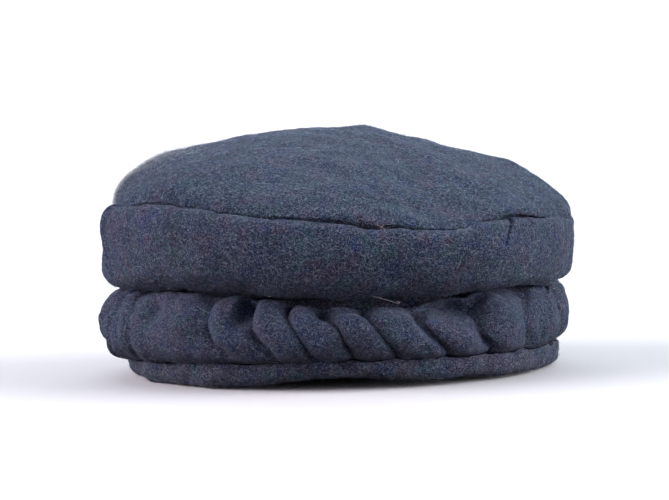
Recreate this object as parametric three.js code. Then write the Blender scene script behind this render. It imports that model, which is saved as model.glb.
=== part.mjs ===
// A felted wool pakol: a round cap with a puffed crown, an upright side, a thick
// twisted roll and a plain band below it. Millimetres, +Z up. The cap stands on
// Z = 0, its front faces -Y, and angles are counted in degrees from the front
// towards +X.
import * as THREE from "three";

const { abs, atan2, cos, hypot, max, min, round, sign, sin } = Math;
const { degToRad, euclideanModulo, lerp, radToDeg, smoothstep } = THREE.MathUtils;

// Driving dimensions.
const cloth = 3; // thickness of the felted wool cloth
const gap = 0.3; // between pieces that are sewn together
const rollGap = 0.9; // between the soft roll and what it lies in
const turnSteps = 48; // facets round the cap

const head = { radius: 93 }; // the opening, for a head about 58 cm round
const roll = {
  halfWidth: 16, // of its thick section
  halfHeight: 16.6,
  squareness: 2.3, // power of the section's curve: 2 is an oval
  ringRadius: head.radius + cloth + 0.5 + 16,
  height: 30, // of the middle of its section
  fullerLeft: 2.6, // how much further out it stands on the left than in front
  creaseSharpness: 4, // power that narrows the creases between full lobes
  creaseEnds: { from: -0.6, full: 0.3 }, // cosines between which a crease fades out inside
  seated: 0.7, // share of each crease that is pressed out where the roll lies on the band
  sectionSides: 14,
  lobeSteps: 4, // facets along each lobe of the twist
};
const band = {
  outerRadius: 117.4,
  fullerRight: 2.2, // how much further out it stands on the right than in front
  edgeRadius: 7,
  lipDrop: 3.5, // rounding of its upper edge below the roll
  hollow: { from: -70, to: -172, steps: 8 }, // the bed of the roll, in degrees of its section
};
const side = {
  outerRadius: 129.5,
  floorHeight: roll.height + roll.halfHeight + rollGap, // where it turns under, over the roll
  cornerRadius: 10,
  seamHeight: 90, // top of its shoulder, before the crown settles
  shoulderRadius: 4.25,
  allowance: 8, // cloth turned in below the shoulder, at the seam
  wallSteps: 3, // facets up the wall
  tuckedFront: 2, // how far the foot of its front leans in
};
const dome = {
  radius: 124.3,
  startAbove: 5, // of its widest part over the seam
  peakHeight: 132.5,
  leftBulge: 2.05, // power of the curve of its left slope: 2 is an ellipse
  rightBulge: 1.55, // and of its straighter right slope
  flatterFront: 0.3, // how much less that power is in front
  frontDroop: 3.2, // how far the front hangs down towards the seam
  widestShift: { x: 1.7, y: 0 },
  peakShift: { x: 4, y: 9 },
  outerSteps: 9,
  innerSteps: 7,
};

// The height of the seam round the cap, which the soft crown has let lean.
const seam = [
  { at: -90, height: 90.2 },
  { at: -70, height: 94.8 },
  { at: -50, height: 100 },
  { at: -30, height: 95 },
  { at: -10, height: 91.7 },
  { at: 10, height: 86.7 },
  { at: 28, height: 82.8 },
  { at: 47, height: 87.9 },
  { at: 66, height: 85.5 },
  { at: 90, height: 84 },
  { at: 135, height: 87 },
  { at: 180, height: 91.5 },
  { at: 225, height: 93 },
];

// How much higher than flat the foot of the side lies.
const foot = [
  { at: -85, height: 2 },
  { at: -62, height: 3.5 },
  { at: -40, height: 4.5 },
  { at: -22, height: 4 },
  { at: -8, height: 2.7 },
  { at: 6, height: 1.4 },
  { at: 22, height: 0.4 },
  { at: 45, height: 1.2 },
  { at: 75, height: 0.7 },
  { at: 120, height: 1.4 },
  { at: 170, height: 0.5 },
  { at: 220, height: 1.6 },
];

// And how much higher the top of the roll lies below it.
const raised = [
  { at: -85, height: 1.4 },
  { at: -60, height: 2.4 },
  { at: -35, height: 3 },
  { at: -18, height: 1.8 },
  { at: -5, height: 0.3 },
  { at: 20, height: 0 },
  { at: 45, height: 0.5 },
  { at: 75, height: 0.3 },
  { at: 120, height: 0.8 },
  { at: 170, height: 0.1 },
  { at: 220, height: 0.9 },
];

// The crown is a little out of round.
const outOfRound = { oval: 0.4, threeSided: 0.6, threeSidedAt: 40 };

// Its top has sunk on the right of the peak. from, to: where the fall begins and
// ends, across the cap. fade: the share of the way up at which it is full.
const sunk = { depth: 3, from: 17, to: 42, fade: 0.3 };

// The folds of the twist that lie in front, from left to right. top, middle, foot:
// the angles that the crease runs through. depth: in millimetres. reach: how far
// down it goes, from 1 at the top to -1 at the foot.
const frontCreases = [
  { top: -94, middle: -84, foot: -87, depth: 3, reach: -2 },
  { top: -81, middle: -72.5, foot: -71, depth: 3.5, reach: -2 },
  { top: -55, middle: -53, foot: -52, depth: 5, reach: 0.45 },
  { top: -36.4, middle: -31, foot: -26.5, depth: 5, reach: -0.3 },
  { top: -25.2, middle: -19.6, foot: -16.5, depth: 7, reach: -0.6 },
  { top: -13.4, middle: -9.2, foot: -6.5, depth: 5.5, reach: -2 },
  { top: -3.2, middle: 0.7, foot: 3.2, depth: 5.5, reach: -2 },
  { top: 6.3, middle: 9.8, foot: 13.5, depth: 6, reach: -2 },
  { top: 18.6, middle: 21.8, foot: 26.5, depth: 6, reach: -2 },
  { top: 40.6, middle: 36.6, foot: 39.4, depth: 5.5, reach: -2 },
  { top: 57.5, middle: 52.6, foot: 54.2, depth: 4.5, reach: -2 },
  { top: 73, middle: 64, foot: 69, depth: 4, reach: -2 },
];
// The rest of the twist is even. lean: from the top of a crease to its foot.
const backCreases = { count: 17, lean: 7, depth: 5.5, reach: -2 };

// Where the roll's top lies lower, in front, in degrees. fade: on each side.
const tuck = { from: -16, to: 38, fade: 12, depth: 2.4 };

// Where the hem of the band waves clear of the surface. spread: the half width of
// the wave in degrees. lift: in millimetres at the outer edge. inner: the share of
// it that the inner edge has.
const hemWaves = [
  { at: 8, spread: 75, lift: 1.2, inner: 1 },
  { at: 1, spread: 24, lift: 3.4, inner: 1 },
  { at: 41, spread: 8, lift: 1.2, inner: 0.6 },
  { at: 118, spread: 14, lift: 2, inner: 0 },
  { at: 231, spread: 12, lift: 2.5, inner: 0 },
];

const sinDeg = (degrees) => sin(degToRad(degrees));
const cosDeg = (degrees) => cos(degToRad(degrees));
const angleOf = (point) => radToDeg(atan2(point.x, -point.y));
const at = (r, z) => new THREE.Vector2(r, z); // a point of a section: radius and height

// Points of a circular arc in a section.
function arc(r, z, radius, fromDegrees, toDegrees, steps) {
  return Array.from({ length: steps + 1 }, (_, k) => {
    const a = lerp(fromDegrees, toDegrees, k / steps);
    return at(r + radius * cosDeg(a), z + radius * sinDeg(a));
  });
}

// Moves every vertex of a geometry with move(point, index).
function reshape(geometry, move) {
  const places = geometry.getAttribute("position");
  const point = new THREE.Vector3();
  for (let i = 0; i < places.count; i++) {
    point.fromBufferAttribute(places, i);
    move(point, i);
    places.setXYZ(i, point.x, point.y, point.z);
  }
  return geometry;
}

// A section turned round the cap's upright axis.
function turned(section) {
  return new THREE.LatheGeometry(section, turnSteps).rotateX(Math.PI / 2);
}

// A smooth curve through the rows of a table of heights, repeated so that it closes.
function heightsRound(table) {
  const rows = [-360, 0, 360].flatMap((turn) =>
    table.map(({ at, height }) => ({ at: at + turn, height })));
  const curve = new THREE.CubicInterpolant(
    rows.map((row) => row.at), rows.map((row) => row.height), 1);
  return (angle) => curve.evaluate(angle)[0];
}
const seamAt = heightsRound(seam);
const footAt = heightsRound(foot);
const raisedAt = heightsRound(raised);

// How much a place faces the front: 1 in front, 0 from the ends to the back.
const frontShare = (angle) => max(0, cosDeg(angle)) ** 1.5;

// How the crown settles out of true, the same for the top and the side. up: how
// far the point is on its way from the seam to the peak, as a share.
function settle(point, up = 0) {
  const { oval, threeSided, threeSidedAt } = outOfRound;
  const angle = angleOf(point);
  const raised = smoothstep(point.z, side.floorHeight + 2 * cloth, side.seamHeight) * (1 - up);
  const wide = oval * cosDeg(2 * angle) + threeSided * cosDeg(3 * (angle - threeSidedAt));
  const grow = 1 + (raised * wide) / side.outerRadius;
  const lift = raised * (seamAt(angle) - side.seamHeight);
  point.set(point.x * grow, point.y * grow, point.z + lift);
}

// The puffed top, with its edge turned in at the seam.
function crownTop() {
  const { seamHeight, shoulderRadius, allowance, outerRadius } = side;
  const { startAbove, peakHeight, leftBulge, rightBulge, widestShift, peakShift } = dome;
  const shoulderZ = seamHeight - shoulderRadius;
  const shoulderR = outerRadius - shoulderRadius;
  const legOuter = shoulderR - shoulderRadius - gap;
  const startZ = seamHeight + startAbove;
  const inner = { radius: dome.radius - cloth, rise: peakHeight - cloth - startZ };
  const outer = { radius: dome.radius, rise: peakHeight - startZ };
  const quarter = (skin, from, to, steps) =>
    arc(0, 0, 1, from, to, steps).map((p) => at(p.x * skin.radius, startZ + p.y));
  const section = [
    ...quarter(inner, 90, 0, dome.innerSteps),
    ...arc(shoulderR, shoulderZ, shoulderRadius + gap + cloth, 125, 180, 2),
    at(legOuter - cloth, shoulderZ - allowance),
    at(legOuter, shoulderZ - allowance),
    ...arc(shoulderR, shoulderZ, shoulderRadius + gap, 180, 115, 3),
    at(dome.radius - gap, startZ - startAbove / 2),
    ...quarter(outer, 0, 90, dome.outerSteps),
  ];
  section.at(0).x = 0;
  section.at(-1).x = 0;
  return reshape(turned(section), (point, i) => {
    const skin = i % section.length <= dome.innerSteps ? inner : outer;
    const rim = min(1, hypot(point.x, point.y) / skin.radius);
    const front = frontShare(angleOf(point));
    const slope = lerp(leftBulge, rightBulge, (1 + sinDeg(angleOf(point))) / 2);
    const bulge = slope - dome.flatterFront * front;
    const up = point.z < startZ ? 0 : (1 - rim ** bulge) ** (1 / bulge);
    const loose = smoothstep(point.z, seamHeight, startZ);
    const fall = sunk.depth * smoothstep(point.x, sunk.from, sunk.to);
    if (point.z >= startZ) point.z = startZ + skin.rise * up;
    point.z -= dome.frontDroop * front * loose * (1 - up) ** 2;
    settle(point, up);
    point.x += loose * lerp(widestShift.x, peakShift.x, up);
    point.y += loose * lerp(widestShift.y, peakShift.y, up);
    point.z -= fall * smoothstep(up, 0, sunk.fade);
  });
}

// The upright side: its shoulder is turned in at the seam, and its foot turns
// under, over the roll, to the top of the head band.
function crownSide() {
  const { outerRadius, floorHeight, cornerRadius, seamHeight, shoulderRadius } = side;
  const shoulderZ = seamHeight - shoulderRadius;
  const shoulderR = outerRadius - shoulderRadius;
  const cornerZ = floorHeight + cornerRadius;
  const cornerR = outerRadius - cornerRadius;
  const legInner = shoulderR - shoulderRadius;
  const legFoot = shoulderZ - side.allowance;
  const chamfer = cloth / 3;
  const wallHeights = Array.from({ length: side.wallSteps - 1 }, (_, k) =>
    lerp(cornerZ, shoulderZ, (k + 1) / side.wallSteps));
  const section = [
    at(head.radius + chamfer, floorHeight),
    ...arc(cornerR, cornerZ, cornerRadius, 270, 360, 5),
    ...wallHeights.map((z) => at(outerRadius, z)),
    ...arc(shoulderR, shoulderZ, shoulderRadius, 0, 180, 6),
    at(legInner, legFoot),
    at(legInner + cloth, legFoot),
    ...arc(shoulderR, shoulderZ, shoulderRadius - cloth, 180, 0, 2),
    ...wallHeights.toReversed().map((z) => at(outerRadius - cloth, z)),
    ...arc(cornerR, cornerZ, cornerRadius - cloth, 360, 270, 3),
    at(head.radius + chamfer, floorHeight + cloth),
    at(head.radius, floorHeight + cloth - chamfer),
    at(head.radius, floorHeight + chamfer),
  ];
  section.push(section[0].clone());
  return reshape(turned(section), (point) => {
    const angle = angleOf(point);
    const radius = hypot(point.x, point.y);
    const wall = smoothstep(radius, 100, 124);
    const foldedUnder = smoothstep(radius, 96, 106);
    const low = 1 - smoothstep(point.z, floorHeight, cornerZ + 8);
    const leanIn = side.tuckedFront * frontShare(angle) * (1 - smoothstep(point.z, 50, 74));
    const lift = footAt(angle) * foldedUnder * low;
    settle(point);
    const grow = 1 - (leanIn * wall) / radius;
    point.set(point.x * grow, point.y * grow, point.z + lift);
  });
}

// A point of the roll's section, so many degrees up from straight outwards. grow:
// how far it lies outside the section.
function rollPoint(degrees, grow = 0) {
  const part = (share) => sign(share) * abs(share) ** (2 / roll.squareness);
  const out = (roll.halfWidth + grow) * part(cosDeg(degrees));
  const up = (roll.halfHeight + grow) * part(sinDeg(degrees));
  return at(roll.ringRadius + out, roll.height + up);
}

// How many degrees it is from one angle to another, the shorter way round.
const turnBetween = (a, b) => abs(euclideanModulo(a - b + 180, 360) - 180);

// How far the hem waves up at an angle. out: 0 at its inner edge, 1 at its outer one.
function hemLift(angle, out) {
  return hemWaves.reduce((lift, wave) => {
    const share = 1 - smoothstep(turnBetween(angle, wave.at), 0, wave.spread);
    return lift + wave.lift * share * lerp(wave.inner, 1, out);
  }, 0);
}

// The head band: a single cloth inside the cap, and below it the plain rolled
// band that the cap stands on, hollowed on top where the twisted roll lies.
function headBand() {
  const { outerRadius, fullerRight, edgeRadius, lipDrop, hollow } = band;
  const inner = head.radius;
  const topZ = side.floorHeight - gap;
  const bed = Array.from({ length: hollow.steps + 1 }, (_, k) =>
    rollPoint(lerp(hollow.from, hollow.to, k / hollow.steps), rollGap));
  const lipZ = bed[0].y;
  const section = [
    ...arc(inner + edgeRadius, edgeRadius, edgeRadius, 180, 270, 3),
    ...arc(outerRadius - edgeRadius, edgeRadius, edgeRadius, 270, 360, 3),
    at(outerRadius, lipZ - lipDrop),
    at(outerRadius - lipDrop / 4, lipZ - lipDrop / 3),
    ...bed,
    at(inner + cloth, topZ),
    at(inner, topZ),
  ];
  section.push(section[0].clone());
  return reshape(turned(section), (point) => {
    const angle = angleOf(point);
    const radius = hypot(point.x, point.y);
    const out = smoothstep(radius, inner + edgeRadius, outerRadius);
    const low = 1 - smoothstep(point.z, edgeRadius, lipZ);
    const grow = 1 + (out * fullerRight * sinDeg(angle)) / radius;
    point.set(point.x * grow, point.y * grow, point.z + hemLift(angle, out) * low);
  });
}

function allCreases() {
  const { count, lean, depth, reach } = backCreases;
  const last = frontCreases.at(-1).middle;
  const step = (frontCreases[0].middle + 360 - last) / (count + 1);
  const back = Array.from({ length: count }, (_, k) => {
    const middle = last + (k + 1) * step;
    return { top: middle - 0.45 * lean, middle, foot: middle + 0.4 * lean, depth, reach };
  });
  return [...frontCreases, ...back];
}

// Where a crease runs at a height, from 1 at the roll's top to -1 at its foot: a
// smooth bow through its three angles.
function creaseAngle({ top, middle, foot: low }, rise) {
  const [high, deep] = [0.85, -0.65];
  const upper = (top - middle) / high;
  const bow = (upper - (low - middle) / deep) / (high - deep);
  return middle + (upper - bow * high) * rise + bow * rise ** 2;
}

// The thick roll of cloth, twisted so that creases cross it all the way round.
// Each lobe runs from one crease to the next.
function twistedRoll() {
  const { ringRadius, height, halfWidth, halfHeight, sectionSides, lobeSteps } = roll;
  const creases = allCreases();
  const steps = creases.length * lobeSteps;
  const ring = new THREE.TorusGeometry(ringRadius, halfWidth, sectionSides, steps);
  const uv = ring.getAttribute("uv");
  return reshape(ring, (point, i) => {
    const step = round(uv.getX(i) * steps) % steps;
    const from = creases[Math.floor(step / lobeSteps)];
    const next = Math.floor(step / lobeSteps) + 1;
    const to = creases[next % creases.length];
    const share = (step % lobeSteps) / lobeSteps;
    const degrees = uv.getY(i) * 360;
    const rise = sinDeg(degrees);
    const out = max(0, cosDeg(degrees));
    const turn = next === creases.length ? 360 : 0;
    const angle = lerp(creaseAngle(from, rise), creaseAngle(to, rise) + turn, share);
    const near = abs(2 * share - 1) ** roll.creaseSharpness;
    const { depth, reach } = share < 0.5 ? from : to;
    const open = smoothstep(cosDeg(degrees), roll.creaseEnds.from, roll.creaseEnds.full)
      * (1 - roll.seated * smoothstep(-rise, 0.72, 0.98));
    const fold = depth * near * open * smoothstep(rise, reach - 0.25, reach + 0.25);
    const tuckReach = (tuck.to - tuck.from) / 2;
    const tucked = 1 - smoothstep(turnBetween(angle, tuck.from + tuckReach),
      tuckReach - tuck.fade, tuckReach + tuck.fade);
    const pinch = 1 - (fold + tuck.depth * tucked * smoothstep(rise, 0.4, 0.9)) / halfWidth;
    const full = 1 - (roll.fullerLeft * out * sinDeg(angle)) / halfWidth;
    const place = rollPoint(degrees);
    const lift = rise > 0 ? 1 + raisedAt(euclideanModulo(angle + 180, 360) - 180) / halfHeight : 1;
    const r = ringRadius + (place.x - ringRadius) * pinch * full;
    point.set(r * sinDeg(angle), -r * cosDeg(angle), height + (place.y - height) * pinch * lift);
  });
}

// Felted wool in heathered slate blue, a little darker towards the foot.
const wool = (color) => new THREE.MeshStandardMaterial({ color, roughness: 0.95, metalness: 0 });

function piece(name, geometry, material) {
  const mesh = new THREE.Mesh(geometry, material);
  mesh.name = name;
  return mesh;
}

const pakol = new THREE.Group();
pakol.add(
  piece("crown_top", crownTop(), wool(0x545f73)),
  piece("crown_side", crownSide(), wool(0x48506a)),
  piece("twisted_roll", twistedRoll(), wool(0x464d63)),
  piece("head_band", headBand(), wool(0x42475a)),
);

// The origin is under the middle of the whole outline.
const middle = new THREE.Box3().setFromObject(pakol).getCenter(new THREE.Vector3());
pakol.position.set(-middle.x, -middle.y, 0);

export default pakol;
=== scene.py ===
import math
import bpy
import numpy as np
from mathutils import Matrix, Vector


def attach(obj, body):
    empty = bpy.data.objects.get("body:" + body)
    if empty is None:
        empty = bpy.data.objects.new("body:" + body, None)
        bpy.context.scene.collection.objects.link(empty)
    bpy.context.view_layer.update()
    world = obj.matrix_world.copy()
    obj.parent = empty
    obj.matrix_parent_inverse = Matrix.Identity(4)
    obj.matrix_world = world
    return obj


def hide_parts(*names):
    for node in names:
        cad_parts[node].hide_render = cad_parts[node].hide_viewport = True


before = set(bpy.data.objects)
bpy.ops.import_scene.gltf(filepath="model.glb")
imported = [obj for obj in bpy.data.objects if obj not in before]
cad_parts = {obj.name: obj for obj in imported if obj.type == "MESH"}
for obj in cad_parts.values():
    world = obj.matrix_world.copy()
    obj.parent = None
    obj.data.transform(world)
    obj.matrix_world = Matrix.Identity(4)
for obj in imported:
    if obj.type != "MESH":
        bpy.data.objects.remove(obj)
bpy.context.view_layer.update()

# A felted wool pakol that stands on its band, with its front towards -Y.
# The shapes are worked out in millimetres round the cap's upright axis and
# scaled to metres at the end. Angles are in degrees, from the front towards +X.
mm = 0.001


# small tools for shapes

def smooth(x, low, high):
    t = np.clip((np.asarray(x, dtype=float) - low) / (high - low), 0, 1)
    return t * t * (3 - 2 * t)


def mix(a, b, share):
    return a + (b - a) * share


def rowsOf(heads, *rows):
    # a table under its heads, as one dictionary for each row
    return [dict(zip(heads.split(), row)) for row in rows]


def sinDeg(angle):
    return np.sin(np.radians(angle))


def cosDeg(angle):
    return np.cos(np.radians(angle))


def turnFrom(angle, centre):
    # signed shortest way round from centre to angle
    return (np.asarray(angle) - centre + 180) % 360 - 180


def hump(x, width, edge=2):
    return np.exp(-np.abs(np.asarray(x) / width) ** edge)


def near(angle, place):
    # from 1 at a place round the cap down to 0 beside it
    return hump(turnFrom(angle, place["at"]), place["spread"])


def unit(vectors):
    return vectors / np.maximum(np.linalg.norm(vectors, axis=-1), 1e-9)[..., None]


def acrossOf(run, up):
    # two directions square to a line's run and to each other
    side = unit(np.cross(run, up))
    return side, unit(np.cross(side, run))


def squared(x, power):
    # sine or cosine on a rounded square in place of a circle
    return np.sign(x) * np.abs(x) ** power


def softNoise(points, size, seed, waves=28):
    # smooth random field of strength about 1, with lumps about half of size across
    rng = np.random.default_rng(seed)
    way = unit(rng.normal(size=(waves, 3))) * ((2 * np.pi / size) * rng.uniform(0.6, 1.5, (waves, 1)))
    phase = rng.uniform(0, 2 * np.pi, waves)
    value = np.cos(points.reshape(-1, 3) @ way.T + phase).sum(1) * math.sqrt(2 / waves)
    return value.reshape(points.shape[:-1])


def lumpsOn(grid, o):
    return sum(lump["depth"] * softNoise(grid, lump["size"], o["lumpSeed"] + k)
               for k, lump in enumerate(o["lumps"]))


def closedCurve(rows, key):
    # smooth curve through the rows of a table, which closes after a full turn
    at = np.array([row["at"] for row in rows], dtype=float)
    at = np.concatenate([at - 360, at, at + 360])
    value = np.tile([float(row[key]) for row in rows], 3)
    slope = np.gradient(value, at)

    def curve(angle):
        a = np.asarray(angle, dtype=float)
        k = np.clip(np.searchsorted(at, a, side="right") - 1, 0, len(at) - 2)
        h = at[k + 1] - at[k]
        t = (a - at[k]) / h
        return ((2 * t**3 - 3 * t**2 + 1) * value[k] + (t**3 - 2 * t**2 + t) * h * slope[k]
                + (3 * t**2 - 2 * t**3) * value[k + 1] + (t**3 - t**2) * h * slope[k + 1])
    return curve


def arcPoints(r, z, radius, fromAngle, toAngle, steps):
    a = np.linspace(fromAngle, toAngle, steps + 1)
    return np.stack([r + radius * cosDeg(a), z + radius * sinDeg(a)], 1)


def between(a, b, steps):
    # points on the way from a to b, without the two ends
    share = np.arange(1, steps)[:, None] / steps
    return mix(np.array(a, dtype=float), np.array(b, dtype=float), share)


# the cap's axis runs up through the middle of the head band's top rim
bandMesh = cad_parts["head_band"].data
bandCorners = np.empty(len(bandMesh.vertices) * 3)
bandMesh.vertices.foreach_get("co", bandCorners)
bandCorners = bandCorners.reshape(-1, 3)
tubeRim = bandCorners[bandCorners[:, 2] > bandCorners[:, 2].max() - 0.1 * mm]
axisX, axisY = ((tubeRim.min(0) + tubeRim.max(0)) / 2)[:2] / mm


def around(angle, r, z, shiftX=0, shiftY=0):
    # places round the cap's axis, as points in millimetres
    angle, r, z = np.broadcast_arrays(angle, r, z)
    return np.stack([axisX + shiftX + r * sinDeg(angle), axisY + shiftY - r * cosDeg(angle), z], -1)


def turnsOf(count, closer=()):
    # the angles of a full turn, with closer steps at some places
    fine = np.linspace(-180, 180, 3601)
    weight = 1 + sum(place["times"] * near(fine, place) for place in closer)
    total = np.concatenate([[0], np.cumsum(weight + 0 * fine)[1:]])
    return np.interp(np.arange(count) * total[-1] / count, total, fine)[:, None]


def outwards(grid, closed):
    # unit normals of a grid of turns by rows, whose rows go up the outside
    along = np.roll(grid, -1, 0) - np.roll(grid, 1, 0)
    if closed:
        up = np.roll(grid, -1, 1) - np.roll(grid, 1, 1)
    else:
        up = np.gradient(grid, axis=1)
    return unit(np.cross(along, up))


def smoothMesh(name, points, corners, sizes):
    # a mesh from its points and the corners of its faces, one face after another
    mesh = bpy.data.meshes.new(name)
    mesh.vertices.add(len(points))
    mesh.vertices.foreach_set("co", (points * mm).ravel())
    mesh.loops.add(len(corners))
    mesh.loops.foreach_set("vertex_index", corners)
    mesh.polygons.add(len(sizes))
    mesh.polygons.foreach_set("loop_start", np.concatenate([[0], np.cumsum(sizes)[:-1]]))
    mesh.polygons.foreach_set("loop_total", sizes)
    mesh.polygons.foreach_set("use_smooth", np.ones(len(sizes), dtype=bool))
    mesh.update()
    mesh.validate()
    return mesh


def addObject(name, data):
    added = bpy.data.objects.new(name, data)
    bpy.context.scene.collection.objects.link(added)
    return added


def addPiece(name, mesh):
    piece = addObject(name, mesh)
    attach(piece, "root")
    print(name, len(mesh.polygons), "faces")
    return piece


def clothPiece(name, grid, poles=None):
    # a closed mesh: a ring whose rows close on themselves, or a cap with two poles
    turns, rows = grid.shape[:2]
    points = grid.reshape(-1, 3)
    i = np.arange(turns)[:, None]
    j = np.arange(rows if poles is None else rows - 1)[None, :]
    nextI, nextJ = (i + 1) % turns, (j + 1) % rows
    quads = np.stack(np.broadcast_arrays(
        i * rows + j, nextI * rows + j, nextI * rows + nextJ, i * rows + nextJ), -1).reshape(-1, 4)
    corners, sizes = [quads.ravel()], [np.full(len(quads), 4)]
    if poles is not None:
        first, last = len(points), len(points) + 1
        points = np.concatenate([points, poles])
        i, nextI = i[:, 0], nextI[:, 0]
        fans = np.concatenate([
            np.stack([np.full(turns, first), nextI * rows, i * rows], 1),
            np.stack([np.full(turns, last), i * rows + rows - 1, nextI * rows + rows - 1], 1)])
        corners.append(fans.ravel())
        sizes.append(np.full(len(fans), 3))
    return addPiece(name, smoothMesh(name, points, np.concatenate(corners), np.concatenate(sizes)))


# the crown: what its top and its side share

crown = {
    "cloth": 3.0,  # thickness of the wool cloth
    "gap": 0.3,
    "outerRadius": 129.5,
    "floorHeight": 47.5,  # where the side turns under, over the roll
    "seamHeight": 90.0,
    "shoulderRadius": 4.25,
    "allowance": 8.0,  # turned in below the seam
    "outOfRound": {"oval": 0.4, "threeSided": 0.6, "threeSidedAt": 40},
    "seam": rowsOf("at height", (-90, 90.2), (-70, 94.8), (-50, 100), (-30, 95.5), (-20, 93.3),
                   (-10, 91.7), (0, 90.3), (10, 86.3), (18, 84.9), (27, 82.0), (47, 88.2), (66, 84.9),
                   (90, 82.0), (135, 87), (180, 91.5), (225, 93)),
    "pucker": 0.22,  # small gathers where the two cloths are sewn together
    "puckerSize": 13,
}
seamAt = closedCurve(crown["seam"], "height")
shoulderR = crown["outerRadius"] - crown["shoulderRadius"]
shoulderZ = crown["seamHeight"] - crown["shoulderRadius"]


def settle(angle, r, z, up=0):
    # the soft crown leans and is a little out of round
    o = crown["outOfRound"]
    raised = smooth(z, crown["floorHeight"] + 2 * crown["cloth"], crown["seamHeight"]) * (1 - up)
    wide = o["oval"] * cosDeg(2 * angle) + o["threeSided"] * cosDeg(3 * (angle - o["threeSidedAt"]))
    return r + raised * wide, z + raised * (seamAt(angle) - crown["seamHeight"])


def puckers(angle, seed):
    ring = around(angle, crown["outerRadius"], 0)
    return crown["pucker"] * softNoise(ring, crown["puckerSize"], seed)


# the puffed top

topSettings = {
    "radius": 124.3,
    "startAbove": 5.0,  # of its widest part over the seam
    "peakHeight": 132.5,
    "leftBulge": 2.08,  # power of the slope's curve: 2 is an ellipse
    "rightBulge": 1.66,
    "flatterFront": 0.45,
    "frontPower": 1.5,  # how narrow that flatter front is
    "swellFrom": (0.05, 0.3),  # share of the slope over which the swells set in
    "lowPart": 0.35,  # share of the slope that overhangs and puckers reach up to
    "overhangRise": (0.5, 3.5),  # above the seam
    "along": {"inside": 130, "outside": 126},  # its edge leaves the side's shoulder here, in degrees
    "puckerTimes": 1.3,  # how much stronger its puckers are than the side's
    "puckerSeed": 5,
    "lumpSeed": 11,
    # how far its lower edge hangs down towards the seam
    "droop": rowsOf("at fall", (-90, 3.6), (-66, 5.4), (-46, 3.8), (-20, 3.2), (0, 3.2), (25, 3.0),
                    (48, 3.4), (68, 6.2), (90, 4.8), (125, 1.8), (180, 0.8), (225, 1.6)),
    "widestShift": (1.7, 0.0),
    "peakShift": (4.0, 9.0),
    "sunk": {"depth": 3.0, "from": 17, "to": 42, "fade": 0.3},  # right of the peak
    "lumps": rowsOf("size depth", (75, 0.45), (28, 0.4), (9, 0.12)),
    # where the top hangs furthest over the seam
    "overhangs": rowsOf("at spread out", (-8, 7, 1.3), (50, 7, 1.3), (80, 17, 3.5), (-64, 12, 1.2)),
    # dents low on the slope: turn and width in degrees, depth, how far up the slope and how tall
    "dents": rowsOf("at spread depth up tall", (-90, 18, 1.0, 0, 0.2), (69, 7, 1.0, 0, 0.2),
                    (142, 16, 1.0, 0, 0.2), (90, 24, -1.9, 0.2, 0.14)),
    # wide soft swells of the slope, seen from above. across: along x and along y
    "swells": rowsOf("at across height", ((-99, 10), (17, 60), 2.0), ((95, 10), (15, 60), 2.4),
                     ((-16, 20), (22, 50), -1.2), ((-67, 10), (14, 50), -1.0),
                     ((72, 10), (20, 50), -2.0)),
    # soft ridges, from and to seen from above, x and y from the axis
    "ridges": rowsOf("from to height width", ((20, -94), (42, -115), 0.7, 5),
                     ((-27, -102), (-40, -114), 0.5, 5), ((-70, -60), (-20, -88), 0.5, 9),
                     ((80, -38), (102, -60), 0.8, 5)),
    "turns": 380,
    "outerRows": 80,
    "innerRows": 20,
    "flatAcross": 0.29,  # of the disc it is cut from, metres
}


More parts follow.
